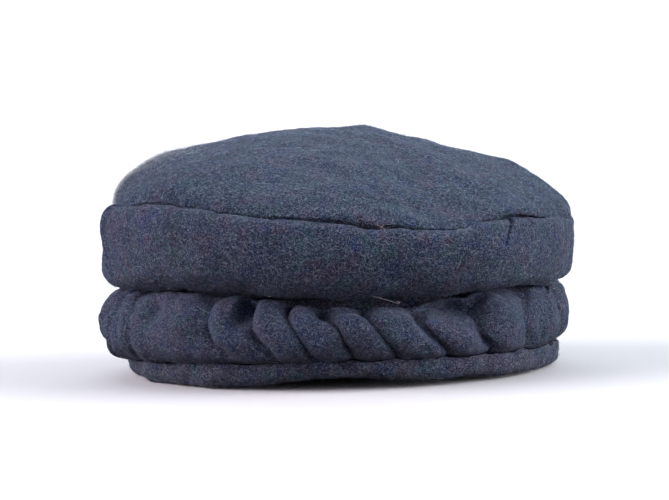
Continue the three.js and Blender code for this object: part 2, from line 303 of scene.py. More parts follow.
def makeCrownTop():
    o, c = topSettings, crown
    startZ = c["seamHeight"] + o["startAbove"]
    skins = {"inner": (o["radius"] - c["cloth"], o["peakHeight"] - c["cloth"] - startZ),
             "outer": (o["radius"], o["peakHeight"] - startZ)}
    slot = c["shoulderRadius"] + c["gap"]
    legR = shoulderR - slot
    legFoot = shoulderZ - c["allowance"]
    innerT = np.linspace(90, 0, o["innerRows"] + 1)[1:]
    outerT = np.linspace(0, 90, o["outerRows"] + 1)[:-1]
    valley = arcPoints(shoulderR, shoulderZ, slot, 180, o["along"]["outside"], 8)
    widest = np.array([o["radius"], startZ])
    t = np.linspace(0, 90, 9)[1:-1]
    hang = np.stack([mix(valley[-1, 0], widest[0], sinDeg(t)),
                     mix(widest[1], valley[-1, 1], cosDeg(t))], 1)
    edge = np.concatenate([
        arcPoints(shoulderR, shoulderZ, slot + c["cloth"], o["along"]["inside"], 180, 6),
        between((legR - c["cloth"], shoulderZ), (legR - c["cloth"], legFoot), 4),
        arcPoints(legR - c["cloth"] / 2, legFoot, c["cloth"] / 2, -180, 0, 6),
        between((legR, legFoot), (legR, shoulderZ), 4), valley, hang])
    r = np.concatenate([skins["inner"][0] * cosDeg(innerT), edge[:, 0],
                        skins["outer"][0] * cosDeg(outerT)])
    z = np.concatenate([np.full(len(innerT), startZ), edge[:, 1], np.full(len(outerT), startZ)])
    row = np.arange(len(r))
    inside = row < len(innerT)
    onDome = inside | (row >= len(r) - len(outerT))
    skinR, rise = (np.where(inside, skins["inner"][k], skins["outer"][k]) for k in (0, 1))
    angle = turnsOf(o["turns"])
    front = np.maximum(0, cosDeg(angle)) ** o["frontPower"]
    bulge = mix(o["leftBulge"], o["rightBulge"], (1 + sinDeg(angle)) / 2) - o["flatterFront"] * front
    up = np.where(onDome, (1 - np.minimum(1, r / skinR) ** bulge) ** (1 / bulge), 0)
    droop = closedCurve(o["droop"], "fall")(angle)
    loose = smooth(z, c["seamHeight"], startZ)
    height = z + rise * up - droop * loose * (1 - up) ** 2
    turnR, turnZ = settle(angle, r * np.ones_like(up), height, up)
    shiftX = loose * mix(o["widestShift"][0], o["peakShift"][0], up)
    shiftY = loose * mix(o["widestShift"][1], o["peakShift"][1], up)
    grid = around(angle, turnR, turnZ, shiftX, shiftY)
    fall = o["sunk"]
    sink = fall["depth"] * smooth(grid[..., 0] - axisX, fall["from"], fall["to"])
    grid[..., 2] -= sink * smooth(up, 0, fall["fade"])
    onSlope = smooth(up, *o["swellFrom"])
    for swell in o["swells"]:
        away = (grid[..., :2] - (axisX, axisY) - swell["at"]) / swell["across"]
        grid[..., 2] += swell["height"] * np.exp(-(away**2).sum(-1)) * onSlope

    outside = row >= len(r) - len(outerT) - len(hang)
    relief = lumpsOn(grid, o)
    for ridge in o["ridges"]:
        start, end = np.array(ridge["from"], float), np.array(ridge["to"], float)
        flat = grid[..., :2] - (axisX, axisY) - start
        run = end - start
        share = np.clip(flat @ run / (run @ run), 0, 1)
        away = np.linalg.norm(flat - share[..., None] * run, axis=-1)
        relief += ridge["height"] * hump(away, ridge["width"])
    low = 1 - smooth(up, 0, o["lowPart"])
    past = smooth(z, *(c["seamHeight"] + rise for rise in o["overhangRise"]))
    for part in o["overhangs"]:
        relief += part["out"] * near(angle, part) * low * past
    for dent in o["dents"]:
        relief -= dent["depth"] * near(angle, dent) * hump(up - dent["up"], dent["tall"]) * loose
    relief += puckers(angle, o["puckerSeed"]) * low * o["puckerTimes"]
    grid += outwards(grid, False) * (relief * outside)[..., None]
    peak = grid[:, -1].mean(0) + (0, 0, 0.02)
    roof = grid[:, 0].mean(0)
    piece = clothPiece("crown_top_wool", grid, [roof, peak])
    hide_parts("crown_top")
    firstOutside = int(np.argmax(outside))
    return piece, grid[:, firstOutside:]


# the upright side, with its foot turned under

sideSettings = {
    "cornerRadius": 10.0,
    "innerRadius": 93.0,
    "lumps": rowsOf("size depth", (80, 0.7), (27, 0.35), (8, 0.1)),
    # the small dart below the seam, from its top to its foot
    "dart": {"top": (46.3, 88), "foot": (41.4, 72), "depth": 2.1, "width": 0.85, "fade": (0.6, 1.1),
             "reach": 8,  # how many degrees of the cloth beside it slant with it
             "lip": {"height": 0.45, "at": 2.6, "width": 2.2, "fade": (0.3, 1)}},
    "wall": (100, 124),  # radii between which the foot turns into the wall
    # folds that run down the wall: at and spread in degrees, out and low in millimetres
    "folds": rowsOf("at spread out low", (-72.6, 1.5, 2.4, 60), (-77, 2.6, -2.6, 60),
                    (76, 5, -0.7, 60), (148, 3, -0.8, 64), (208, 2.5, -0.7, 66), (214, 3, 0.6, 66)),
    # dents: at and spread in degrees, height and tall in millimetres
    "dents": rowsOf("at spread height tall out", (-88, 13, 76.5, 7, -3.2), (-90, 30, 51, 5, -0.9),
                    (84, 32, 56, 11, -2.8), (-33, 16, 74, 9, -0.8), (118, 15, 70, 9, -1.1),
                    (188, 18, 76, 9, -1.0)),
    # how its front bulges: how far its foot and its top lean in, and over what height
    "leans": {"foot": 13.0, "footFrom": 80, "footPower": 2.2, "top": 3.6, "topTall": 17,
              # how much of them there is round the cap
              "round": rowsOf("at share", (-90, 0), (-75, 0.12), (-62, 0.7), (-42, 1.15), (-20, 1),
                              (25, 1), (42, 0.75), (62, 0.35), (90, 0), (120, 0), (180, 0), (240, 0))},
    "foldFade": (8, 6),  # how far below and above its low end a fold sets in
    "puckerTall": 14,
    "puckerSeed": 7,
    "lumpSeed": 31,
    # waves of its lower edge, up and down. between: the radii over which they set in. tall: how
    # far above its rounded corner they end
    "hem": {"wave": 0.5, "size": 95, "seed": 41, "between": (96, 106), "tall": 8},
    # how much higher than flat the foot lies
    "foot": rowsOf("at lift", (-85, 3.0), (-62, 3.5), (-40, 4.5), (-22, 4.0), (-8, 2.7), (6, 1.4),
                   (22, 0.2), (45, 0.3), (78, 0.5), (120, 1.2), (170, 0.5), (220, 1.6)),
    "turns": 540,
    "closerTurns": [{"at": 46, "spread": 3.5, "times": 7}, {"at": -76.5, "spread": 6, "times": 1.5}],
    "flat": (0.10, 0.815),  # of the strip it is cut from, metres
}


def makeCrownSide():
    o, c = sideSettings, crown
    cornerR, cornerZ = c["outerRadius"] - o["cornerRadius"], c["floorHeight"] + o["cornerRadius"]
    legR, legFoot = shoulderR - c["shoulderRadius"], shoulderZ - c["allowance"]
    half = c["cloth"] / 2
    footR, footTop = o["innerRadius"] + half, c["floorHeight"] + c["cloth"]
    wallR = c["outerRadius"]
    outer = np.concatenate([
        between((footR, c["floorHeight"]), (cornerR, c["floorHeight"]), 8),
        arcPoints(cornerR, cornerZ, o["cornerRadius"], 270, 360, 12),
        between((wallR, cornerZ), (wallR, shoulderZ), 22),
        arcPoints(shoulderR, shoulderZ, c["shoulderRadius"], 0, 180, 20)])
    inner = np.concatenate([
        between((legR, shoulderZ), (legR, legFoot), 4),
        arcPoints(legR + half, legFoot, half, 180, 360, 6),
        between((legR + c["cloth"], legFoot), (legR + c["cloth"], shoulderZ), 4),
        arcPoints(shoulderR, shoulderZ, c["shoulderRadius"] - c["cloth"], 180, 0, 4),
        between((wallR - c["cloth"], shoulderZ), (wallR - c["cloth"], cornerZ), 8),
        arcPoints(cornerR, cornerZ, o["cornerRadius"] - c["cloth"], 360, 270, 4),
        between((cornerR, footTop), (footR, footTop), 4),
        arcPoints(footR, c["floorHeight"] + half, half, 90, 270, 6)])
    section = np.concatenate([outer, inner])
    r, z = section[:, 0], section[:, 1]
    angle = turnsOf(o["turns"], o["closerTurns"])
    turnR, turnZ = settle(angle, r, z)
    dart = o["dart"]
    down = np.clip((dart["top"][1] - turnZ) / (dart["top"][1] - dart["foot"][1]), 0, 1)
    # the columns near the dart slant with it
    slant = dart["foot"][0] - dart["top"][0]
    angle = angle + slant * down * hump(turnFrom(angle, dart["top"][0]), dart["reach"])
    lean = o["leans"]
    towardsFoot = np.clip((lean["footFrom"] - turnZ) / (lean["footFrom"] - c["floorHeight"]), 0, 1)
    towardsTop = np.clip((turnZ - seamAt(angle) + lean["topTall"]) / lean["topTall"], 0, 1)
    bulge = lean["top"] * (1 - towardsTop**2) - lean["foot"] * towardsFoot ** lean["footPower"]
    wall = smooth(r, *o["wall"])
    turnR = turnR + bulge * closedCurve(lean["round"], "share")(angle) * wall
    grid = around(angle, turnR, turnZ)

    outside = np.arange(len(r)) < len(outer) - 6
    height = grid[..., 2]
    relief = lumpsOn(grid, o)
    for fold in o["folds"]:
        relief += (fold["out"] * near(angle, fold)
                   * smooth(height, fold["low"] - o["foldFade"][0], fold["low"] + o["foldFade"][1]))
    for dent in o["dents"]:
        relief += dent["out"] * near(angle, dent) * hump(height - dent["height"], dent["tall"])
    at = mix(dart["top"][0], dart["foot"][0], down)
    across = turnFrom(angle, at) * np.radians(1) * wallR
    relief -= (dart["depth"] * np.exp(-np.abs(across) / dart["width"])
               * (1 - smooth(down, *dart["fade"])))
    lip = dart["lip"]
    relief += lip["height"] * hump(across - lip["at"], lip["width"]) * (1 - smooth(down, *lip["fade"]))
    relief += (puckers(angle, o["puckerSeed"])
               * smooth(height, seamAt(angle) - o["puckerTall"], seamAt(angle)))
    grid += outwards(grid, True) * (relief * outside * wall)[..., None]
    hem = o["hem"]
    wave = (hem["wave"] * softNoise(around(angle, wallR, 0), hem["size"], hem["seed"])
            + closedCurve(o["foot"], "lift")(angle))
    grid[..., 2] += (wave * smooth(r, *hem["between"])
                     * (1 - smooth(z, c["floorHeight"], cornerZ + hem["tall"])))
    piece = clothPiece("crown_side_wool", grid)
    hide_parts("crown_side")
    return piece, grid[:, 6:len(outer) - 6]


# the thick twisted roll

rollSettings = {
    "halfWidth": 16.0,
    "halfHeight": 16.6,
    "squareness": 2.3,
    "bowAt": (0.85, -0.65),  # heights where a crease's top and foot are given, 1 is the roll's top
    "ringRadius": 112.2,
    "height": 30.0,
    "fullerLeft": 2.9,
    "slopedLeft": 1.7,  # how far its upper left end is drawn in
    # power of each lobe's curve beside a sharp crease and a soft one
    "round": {"sharp": 4.6, "soft": 2.4},
    "openTop": 0.5,  # how much softer each crease is near its top
    "cut": {"share": 0.5, "width": 1.0},  # the bottom of a sharp crease: of its depth, and degrees
    "seated": 0.7,  # how much of the creases is pressed out where the roll lies on the band
    # where things set in, from the roll's inner face, -1, to its outer face, 1
    "outwards": {"creases": (-0.6, 0.3), "dents": (-0.3, 0.2), "sloped": (0, 0.3)},
    # and from its middle, 0, to its top, 1
    "upwards": {"pit": (0.2, 0.8), "openTop": (0.1, 0.8), "tuck": (0.4, 0.9), "sloped": (0.2, 0.6)},
    # and from its middle, 0, to its foot, 1
    "downwards": {"seated": (0.6, 0.95), "hang": (0.5, 0.95)},
    "creaseFade": 0.25,  # how gently a crease ends
    # how much higher its top lies
    "raised": rowsOf("at lift", (-85, 4.0), (-60, 3.6), (-35, 4.2), (-18, 2.4), (-5, 0.6), (20, -0.7),
                     (28, 1.1), (36, 3.4), (50, 2.2), (75, 2.2), (120, 1.2), (170, 0.4), (220, 1.4)),
    # where its top lies lower, in front. fade: how gently that starts and ends, in degrees
    "tuck": {"from": -16, "to": 41, "fade": (12, 3.5), "depth": 2.6},
    # the creases in front, left to right. top, middle and foot: where it runs, in degrees.
    # depth: millimetres. pit: how much deeper it is near the top. reach: how far down it
    # goes, from 1 at the top to -1 at the foot. soft: from 0, a sharp fold, to 1, a wide hollow.
    "creases": rowsOf("top middle foot depth pit reach soft",
        (-74.6, -75, -78, 1.6, 0, -1.5, 0.4),
        (-67, -63.8, -65.3, 1.8, 0, -1.5, 0.5),
        (-35.4, -33.2, -29.7, 5, 0, -0.6, 0.55),
        (-24.4, -20.6, -17.2, 4.6, 1, -0.65, 0.4),
        (-13, -10.5, -7.3, 5.4, 2.5, -1.5, 0.25),
        (-4.4, 0.2, 2.2, 5.4, 3.5, -1.5, 0.35),
        (6, 9.5, 12.8, 5.6, 3, -1.5, 0.2),
        (19.6, 21.8, 26.2, 5.6, 1.5, -1.5, 0.2),
        (38.6, 37.6, 39.8, 5.4, 0.5, -1.5, 0.6),
        (57, 54, 54.8, 2.9, 0.3, -1.5, 0.6),
        (71, 65.8, 70, 1.4, 0, -1.5, 1)),
    "back": {"count": 17, "lean": 8, "above": 0.45, "below": 0.4, "depth": 4.6, "pit": 1.5, "soft": 0.4,
             # how uneven they are
             "jitter": {"middle": 1.8, "lean": 3, "foot": 1.5, "depth": 0.9, "soft": 0.3}},
    # narrow raised lines beside the soft creases at the ends
    "ridges": rowsOf("top middle foot height width", (-64.6, -61.2, -62.6, 2.4, 0.8),
                     (-72.2, -72.6, -75.4, 2.2, 0.8), (-75, -81.5, -86, 1.5, 0.9),
                     (68.4, 63.6, 67.4, 1.5, 0.9)),
    # dents pressed into the lobes: where, how wide in degrees, from which height up, how deep
    "dents": rowsOf("at spread height soft depth", (49, 7, 41, 6, 2.4), (31, 7, 31, 9, 3.2),
                    (-4.8, 3, 32, 8, 1.3), (-30.5, 3.2, 45, 3, 2.4), (128, 3, 39, 5, 3.0),
                    (221, 3, 40, 5, 3.2), (88, 16, 10, 8, 1.3)),
    # small deep hollows at the top of a lobe: turn and width in degrees, height and tall in
    # millimetres. edge: from 2, a soft rim, to 4, a steep one
    "pits": rowsOf("at wide height tall depth edge", (-53.6, 3.8, 42, 6.8, 7.5, 2),
                   (-25.0, 2.4, 46, 10, 9.5, 3), (-4.2, 2.4, 44, 6, 3.5, 2),
                   (-8.6, 2.2, 19.5, 4.5, 2.5, 2), (30, 8.5, 45, 9.5, 11.5, 2.5),
                   (36, 5.5, 40.5, 9.5, 6.8, 2), (57, 13, 48, 9.5, 4.4, 2), (140, 2.2, 43, 6, 5, 2),
                   (236, 2.4, 43, 6, 5, 3)),
    "lumps": rowsOf("size depth", (34, 0.7), (12, 0.3)),
    "pitSlant": 0.25,  # how much of its depth a pit also goes down
    "sway": {"by": 0.45, "turns": 4.2},  # of each crease from a smooth bow, in degrees
    # how much higher than flat its foot lies
    "footRise": rowsOf("at rise", (-90, -2.8), (-70, -2.2), (-50, -0.3), (-28, 1.0), (5, 2.0),
                       (42, 1.2), (80, 0), (180, 0), (240, -0.8)),
    "hang": 0.6,  # how much lower each lobe hangs in its middle than at its ends
    "lobeFullness": (-0.2, 0.6),  # how far a lobe swells in its middle, least and most
    # fine wrinkles that run along each lobe: how many of them, and how much they slant
    "wrinkles": {"height": 0.16, "count": (2.2, 3.6), "slant": 0.8},
    "crowded": 0.11,  # how much closer the steps lie beside a crease
    "lumpSeed": 51,
    "backSeed": 3,
    "lobeSeed": 8,
    "lobeSteps": 34,  # at least
    "stepsPerDegree": 2.6,
    "sectionSteps": 66,
    "fill": 0.85,
}


def rollCreases():
    o = rollSettings
    rows = [dict(row) for row in o["creases"]]
    b, jitter = o["back"], o["back"]["jitter"]
    rng = np.random.default_rng(o["backSeed"])
    last = rows[-1]["middle"]
    step = (rows[0]["middle"] + 360 - last) / (b["count"] + 1)
    for k in range(b["count"]):
        wobble = rng.uniform(-1, 1, 5)
        middle = last + (k + 1) * step + jitter["middle"] * wobble[0]
        lean = b["lean"] + jitter["lean"] * wobble[1]
        rows.append({"top": middle - b["above"] * lean + wobble[2], "middle": middle,
                     "foot": middle + b["below"] * lean + jitter["foot"] * wobble[3],
                     "depth": b["depth"] + jitter["depth"] * wobble[4], "pit": b["pit"],
                     "reach": -1.5, "soft": b["soft"] + jitter["soft"] * wobble[1]})
    return rows


rollFootRise = closedCurve(rollSettings["footRise"], "rise")


def makeTwistedRoll():
    o = rollSettings
    rows = rollCreases()
    rng = np.random.default_rng(o["lobeSeed"])
    part = 2 / o["squareness"]
    section = np.arange(o["sectionSteps"]) * 360 / o["sectionSteps"]
    rise, out = sinDeg(section), cosDeg(section)
    shapeR = o["halfWidth"] * squared(out, part)
    shapeZ = o["halfHeight"] * squared(rise, part)
    outwardsAt, upAt, downAt = (
        {key: smooth(x, *ends) for key, ends in o[way].items()}
        for x, way in ((out, "outwards"), (rise, "upwards"), (-rise, "downwards")))
    shown = outwardsAt["creases"] * (1 - o["seated"] * downAt["seated"])

    def creaseAt(row, turn=0):
        # a smooth bow through the crease's foot, middle and top
        high, low = o["bowAt"]
        upper, lower = (row["top"] - row["middle"]) / high, (row["foot"] - row["middle"]) / low
        bow = (upper - lower) / (high - low)
        sway = o["sway"]["by"] * np.sin(o["sway"]["turns"] * rise + row["middle"])
        return row["middle"] + turn + (upper - bow * high) * rise + bow * rise**2 + sway

    def creaseDepth(row):
        keep = smooth(rise, row["reach"] - o["creaseFade"], row["reach"] + o["creaseFade"])
        return (row["depth"] + row["pit"] * upAt["pit"]) * keep

    fine = o["wrinkles"]
    angles, sinks, wrinkles = [], [], []
    for k, row in enumerate(rows):
        after, turn = rows[(k + 1) % len(rows)], 360 * (k + 1 == len(rows))
        width = after["middle"] + turn - row["middle"]
        steps = max(o["lobeSteps"], round(width * o["stepsPerDegree"]))
        share = (np.arange(steps) / steps)[:, None]
        share = share - o["crowded"] * np.sin(2 * np.pi * share)
        first, last = creaseDepth(row), creaseDepth(after)
        sink = 0
        for side, depth, soft in ((share, first, row["soft"]), (1 - share, last, after["soft"])):
            soft = np.minimum(1, soft + o["openTop"] * upAt["openTop"])
            cut = o["cut"]["share"] * (1 - soft)
            slope = np.clip(1 - 2 * side, 0, 1) ** mix(o["round"]["sharp"], o["round"]["soft"], soft)
            sink = sink + depth * ((1 - cut) * slope + cut * np.exp(-side * width / o["cut"]["width"]))
        middle = np.sin(np.pi * share)
        sink -= rng.uniform(*o["lobeFullness"]) * middle**2
        sink += o["hang"] * (1 - middle**0.7) * downAt["hang"]
        phase, lines = rng.uniform(0, 6.28), rng.uniform(*fine["count"])
        ripple = (np.sin(2 * np.pi * lines * share + phase + fine["slant"] * rise)
                  * np.sqrt(np.abs(middle)))
        angles.append(mix(creaseAt(row), creaseAt(after, turn), share))
        sinks.append(sink * shown)
        wrinkles.append(fine["height"] * ripple * shown)
    angle, sink = np.concatenate(angles), np.concatenate(sinks)
    tuck = o["tuck"]
    turn = turnFrom(angle, 0)
    tucked = (smooth(turn, tuck["from"] - tuck["fade"][0], tuck["from"] + tuck["fade"][0])
              * (1 - smooth(turn, tuck["to"] - tuck["fade"][1], tuck["to"] + tuck["fade"][1])))
    sink += tuck["depth"] * tucked * upAt["tuck"]
    pinch = 1 - sink / o["halfWidth"]
    full = 1 - o["fullerLeft"] * np.maximum(0, out) * sinDeg(angle) / o["halfWidth"]
    lift = 1 + closedCurve(o["raised"], "lift")(angle) / o["halfHeight"] * (shapeZ > 0)
    lift -= rollFootRise(angle) / o["halfHeight"] * (shapeZ < 0)
    sloped = (o["slopedLeft"] * np.maximum(0, -sinDeg(angle)) ** 3 * upAt["sloped"]
              * outwardsAt["sloped"])
    grid = around(angle, o["ringRadius"] + shapeR * pinch * full - sloped,
                  o["height"] + shapeZ * pinch * lift)
    relief = np.concatenate(wrinkles)
    for ridge in o["ridges"]:
        relief += ridge["height"] * hump(turnFrom(angle, creaseAt(ridge)), ridge["width"]) * shown
    for k, lump in enumerate(o["lumps"]):
        relief += lump["depth"] * softNoise(grid, lump["size"], o["lumpSeed"] + k) * shown
    for dent in o["dents"]:
        relief -= (dent["depth"] * near(angle, dent) * outwardsAt["dents"]
                   * smooth(grid[..., 2], dent["height"] - dent["soft"], dent["height"] + dent["soft"]))
    grid += outwards(grid, True) * relief[..., None]
    for pit in o["pits"]:
        push = (pit["depth"] * hump(turnFrom(angle, pit["at"]), pit["wide"], pit["edge"])
                * hump(grid[..., 2] - pit["height"], pit["tall"], pit["edge"])
                * outwardsAt["dents"])
        grid -= push[..., None] * np.stack([sinDeg(angle), -cosDeg(angle), o["pitSlant"] + 0 * angle], -1)
    piece = clothPiece("twisted_roll_wool", grid)
    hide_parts("twisted_roll")
    shownRows = np.arange(-22, 23)
    return piece, grid[:, shownRows]


# the head tube and the plain rolled band below it

bandSettings = {
    "innerRadius": 93.0,
    "outerRadius": 117.4,
    "fullerRight": 1.3,
    "edgeRadius": 7.0,
    "lipDrop": 3.0,
    "topHeight": 47.2,
    "bed": (-76, -172),  # where the roll lies, in degrees of its section
    "bedGap": 0.4,
    # how its upper edge rises into the creases of the roll. below: how far down a crease that is,
    # 0 at its middle and 1 at its foot. spread: degrees. rows: of the mesh
    "lip": {"rise": 1.1, "below": 1.35, "spread": 1.7, "rows": 2.5},
    "rollSide": (108, 114),  # radii between which it follows the roll's foot
    "rollFade": (20, 34),  # heights between which it stops doing so
    "lumpsFrom": (108, 117),  # radii between which lumps set in
    "lumpsTo": (33, 38),  # rows of the mesh between which they end, under the roll
    # where its lower corner is drawn in
    "drawnIn": {"at": -84, "spread": 30, "in": 2.2, "fade": (1, 12)},
    # where the hem waves up. inner: how much of the wave its inner edge has
    "waves": rowsOf("at spread lift inner", (14, 100, 3.0, 1), (-2, 26, 4.2, 1), (37, 12, 1.4, 0.8),
                    (118, 14, 2, 0), (231, 12, 2.5, 0)),
    "lumps": rowsOf("size depth", (44, 0.45), (17, 0.4), (6, 0.12)),
    "lumpSeed": 71,
    "turns": 480,
    "fill": 0.7,
}


def makeHeadBand():
    o, c, roll = bandSettings, crown, rollSettings
    a = np.linspace(*o["bed"], 19)
    part = 2 / roll["squareness"]
    bedSides = ((roll["ringRadius"], roll["halfWidth"], cosDeg(a)),
                (roll["height"], roll["halfHeight"], sinDeg(a)))
    bed = np.stack([middle + (size + o["bedGap"]) * squared(way, part)
                    for middle, size, way in bedSides], 1)
    lip, edge, half = bed[0], o["edgeRadius"], c["cloth"] / 2
    creases = [row for row in rollCreases() if row["reach"] < -1]
    tubeR = o["innerRadius"] + c["cloth"]
    t = np.linspace(0, 90, 8)[1:-1]
    lipCurve = np.stack([mix(lip[0], o["outerRadius"], cosDeg(t)),
                         mix(lip[1] - o["lipDrop"], lip[1], sinDeg(t))], 1)
    section = np.concatenate([
        arcPoints(o["innerRadius"] + edge, edge, edge, 180, 270, 8),
        between((o["innerRadius"] + edge, 0), (o["outerRadius"] - edge, 0), 6),
        arcPoints(o["outerRadius"] - edge, edge, edge, 270, 360, 12),
        between((o["outerRadius"], edge), (o["outerRadius"], lip[1] - o["lipDrop"]), 3),
        lipCurve, bed,
        between(bed[-1], (tubeR, o["topHeight"] - half), 6),
        arcPoints(tubeR - half, o["topHeight"] - half, half, 0, 180, 6),
        between((o["innerRadius"], o["topHeight"] - half), (o["innerRadius"], edge), 14)])
    r, z = section[:, 0], section[:, 1]
    lipRow = int(np.argmin(np.abs(section - lip).sum(1)))
    angle = turnsOf(o["turns"])
    out = smooth(r, o["innerRadius"] + edge, o["outerRadius"])
    low = 1 - smooth(z, edge, lip[1])
    lift = sum(w["lift"] * (1 - smooth(np.abs(turnFrom(angle, w["at"])), 0, w["spread"]))
               * mix(w["inner"], 1, out) for w in o["waves"])
    corner = o["drawnIn"]
    drawn = corner["in"] * near(angle, corner) * out * (1 - smooth(z, *corner["fade"]))
    grid = around(angle, r + out * o["fullerRight"] * sinDeg(angle) - drawn, z + lift * low)
    grid[..., 2] += (rollFootRise(angle) * smooth(r, *o["rollSide"]) * smooth(z, edge, lip[1])
                     * (1 - smooth(z, *o["rollFade"])))
    rising = o["lip"]
    risen = sum(hump(turnFrom(angle, mix(row["middle"], row["foot"], rising["below"])), rising["spread"])
                for row in creases)
    grid[..., 2] += rising["rise"] * risen * hump(np.arange(len(r)) - lipRow, rising["rows"])
    relief = lumpsOn(grid, o)
    shown = smooth(r, *o["lumpsFrom"]) * (1 - smooth(np.arange(len(r)), *o["lumpsTo"]))
    grid += outwards(grid, True) * (relief * shown)[..., None]
    grid[..., 2] = np.maximum(grid[..., 2], 0)
    piece = clothPiece("head_band_wool", grid)
    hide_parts("head_band")
    return piece, grid[:, 12:36]


topPiece, topFace = makeCrownTop()
sidePiece, sideFace = makeCrownSide()
rollPiece, rollFace = makeTwistedRoll()
bandPiece, bandFace = makeHeadBand()


# loose wool fibres that stand and lie on the cloth

kindHeads = "share length middle tip bend thick pale"
fuzzSettings = {
    "radius": 0.05,
    "thickness": (0.7, 1.3),  # of a fibre, times the radius
    "shade": (0.7, 1.25),  # of a fibre, times its colour
    "rootDepth": 0.08,
    "thin": (1, 0.9, 0.65),  # share of the radius at the root and at the two joints
    # kinds of fibre. share: how many of them. length: millimetres. middle and tip: how far
    # they stand off there. bend: degrees from one stretch to the next. thick: times the radius
    "kinds": rowsOf(kindHeads,
        (0.34, (1.0, 2.6), (0.3, 0.9), (0.6, 1.8), 20, 0.9, 1.0),
        (0.50, (2.0, 5.0), (0.05, 0.3), (-0.05, 0.3), 30, 1.0, 1.0),
        (0.16, (4.0, 9.0), (0.08, 0.3), (-0.05, 0.25), 34, 1.7, 1.15)),
    # a tuft that stands off the left shoulder of the top: real fuzz, its paler colour a painted highlight
    # of the light that grazes that edge
    "tuft": {"at": (-112, 0, 105), "spread": 25,
             "kinds": rowsOf(kindHeads, (1.0, (1.6, 4.0), (0.5, 1.3), (0.9, 2.6), 26, 0.8, 1.5)),
             "colours": [((0.22, 0.24, 0.24), 5), ((0.15, 0.16, 0.18), 5), ((0.31, 0.33, 0.32), 3),
                         ((0.13, 0.16, 0.17), 2), ((0.19, 0.16, 0.18), 2), ((0.44, 0.44, 0.42), 1)]},
    # colour and how often it comes
    "colours": [((0.18, 0.24, 0.33), 5), ((0.09, 0.14, 0.26), 5), ((0.27, 0.33, 0.39), 3),
                ((0.07, 0.16, 0.23), 2), ((0.17, 0.13, 0.20), 2), ((0.42, 0.45, 0.47), 1)],
}


def placeOn(face, i, j):
    # places between the points of a face, which closes in its first direction
    j = np.clip(j, 0, face.shape[1] - 1.001)
    cellI, cellJ = np.floor(i).astype(int), np.floor(j).astype(int)
    u, v = (i - cellI)[:, None], (j - cellJ)[:, None]
    left, right = cellI % len(face), (cellI + 1) % len(face)
    return mix(mix(face[left, cellJ], face[right, cellJ], u),
               mix(face[left, cellJ + 1], face[right, cellJ + 1], u), v)


def tintFibres(mesh, colours):
    tint = mesh.color_attributes.new("fibreColour", "FLOAT_COLOR", "POINT")
    tint.data.foreach_set("color", np.concatenate([colours, np.ones((len(colours), 1))], 1).ravel())


def makeFuzz(name, face, count, seed, shade=1.0, tuft=None):
    # each fibre is a thin three-sided spike that follows the cloth it grows from
    o = fuzzSettings
    kinds = (tuft or o)["kinds"]
    rng = np.random.default_rng(seed)
    corner = face[:, :-1]
    along = np.roll(face, -1, 0)[:, :-1] - corner
    up = face[:, 1:] - corner
    area = np.linalg.norm(np.cross(along, up), axis=2)
    if tuft:
        area *= hump(np.linalg.norm(corner - (axisX, axisY, 0) - tuft["at"], axis=2), tuft["spread"])
    pick = rng.choice(area.size, size=count, p=(area / area.sum()).ravel())
    along, up = along.reshape(-1, 3)[pick], up.reshape(-1, 3)[pick]
    startI, startJ = (pick // corner.shape[1]).astype(float), (pick % corner.shape[1]).astype(float)
    startI += rng.uniform(0, 1, count)
    startJ += rng.uniform(0, 1, count)
    normals = outwards(face, False)

    chosenKind = rng.choice(len(kinds), size=count, p=[kind["share"] for kind in kinds])

    def ofKind(key):
        return np.array([kind[key] for kind in kinds], float)[chosenKind]

    chance = rng.uniform(0, 1, (3, count))
    length, middle, tip = (mix(*ofKind(key).T, share)
                           for key, share in zip(("length", "middle", "tip"), chance))
    # one stretch of a fibre as steps along the rows and columns of the face
    alongLength, upLength = np.linalg.norm(along, axis=1), np.linalg.norm(up, axis=1)
    slant = (along * up).sum(1) / (alongLength * upLength)
    heading = rng.uniform(0, 360, count)
    i, j = startI, startJ
    line = [placeOn(face, i, j) - placeOn(normals, i, j) * o["rootDepth"]]
    for lift in (middle, 0.5 * (middle + tip), tip):
        stepUp = length / 3 * sinDeg(heading) / np.sqrt(np.maximum(1 - slant**2, 0.2))
        stepAlong = length / 3 * cosDeg(heading) - stepUp * slant
        i, j = i + stepAlong / alongLength, j + stepUp / upLength
        line.append(placeOn(face, i, j) + placeOn(normals, i, j) * lift[:, None])
        heading = heading + rng.normal(0, 1, count) * ofKind("bend")

    radius = (o["radius"] * rng.uniform(*o["thickness"], count) * ofKind("thick"))[:, None]
    rings = []
    for k, (place, thin) in enumerate(zip(line[:3], o["thin"])):
        run = line[k + 1] - line[max(k - 1, 0)]
        side, other = acrossOf(run, placeOn(normals, startI, startJ))
        rings += [place + radius * thin * (cosDeg(a) * side + sinDeg(a) * other) for a in (90, 210, 330)]
    points = np.stack(rings + [line[3]], 1)
    points[..., 2] = np.maximum(points[..., 2], 0)
    faces = [(0, 2, 1)]
    for ring in (0, 3):
        for k in range(3):
            after = (k + 1) % 3
            faces += [(ring + k, ring + after, ring + 3 + after),
                      (ring + k, ring + 3 + after, ring + 3 + k)]
    faces += [(6 + k, 6 + (k + 1) % 3, 9) for k in range(3)]
    perFibre = points.shape[1]
    tris = (np.arange(count)[:, None, None] * perFibre + np.array(faces)[None]).reshape(-1, 3)
    mesh = smoothMesh(name, points.reshape(-1, 3), tris.ravel(), np.full(len(tris), 3))
    listed = (tuft or o)["colours"]
    colours = np.array([c for c, _ in listed])
    often = np.array([w for _, w in listed], float)
    chosen = colours[rng.choice(len(colours), size=count, p=often / often.sum())]
    chosen = chosen * (rng.uniform(*o["shade"], count) * ofKind("pale") * shade)[:, None]
    tintFibres(mesh, np.repeat(chosen, perFibre, 0))
    return addPiece(name, mesh)


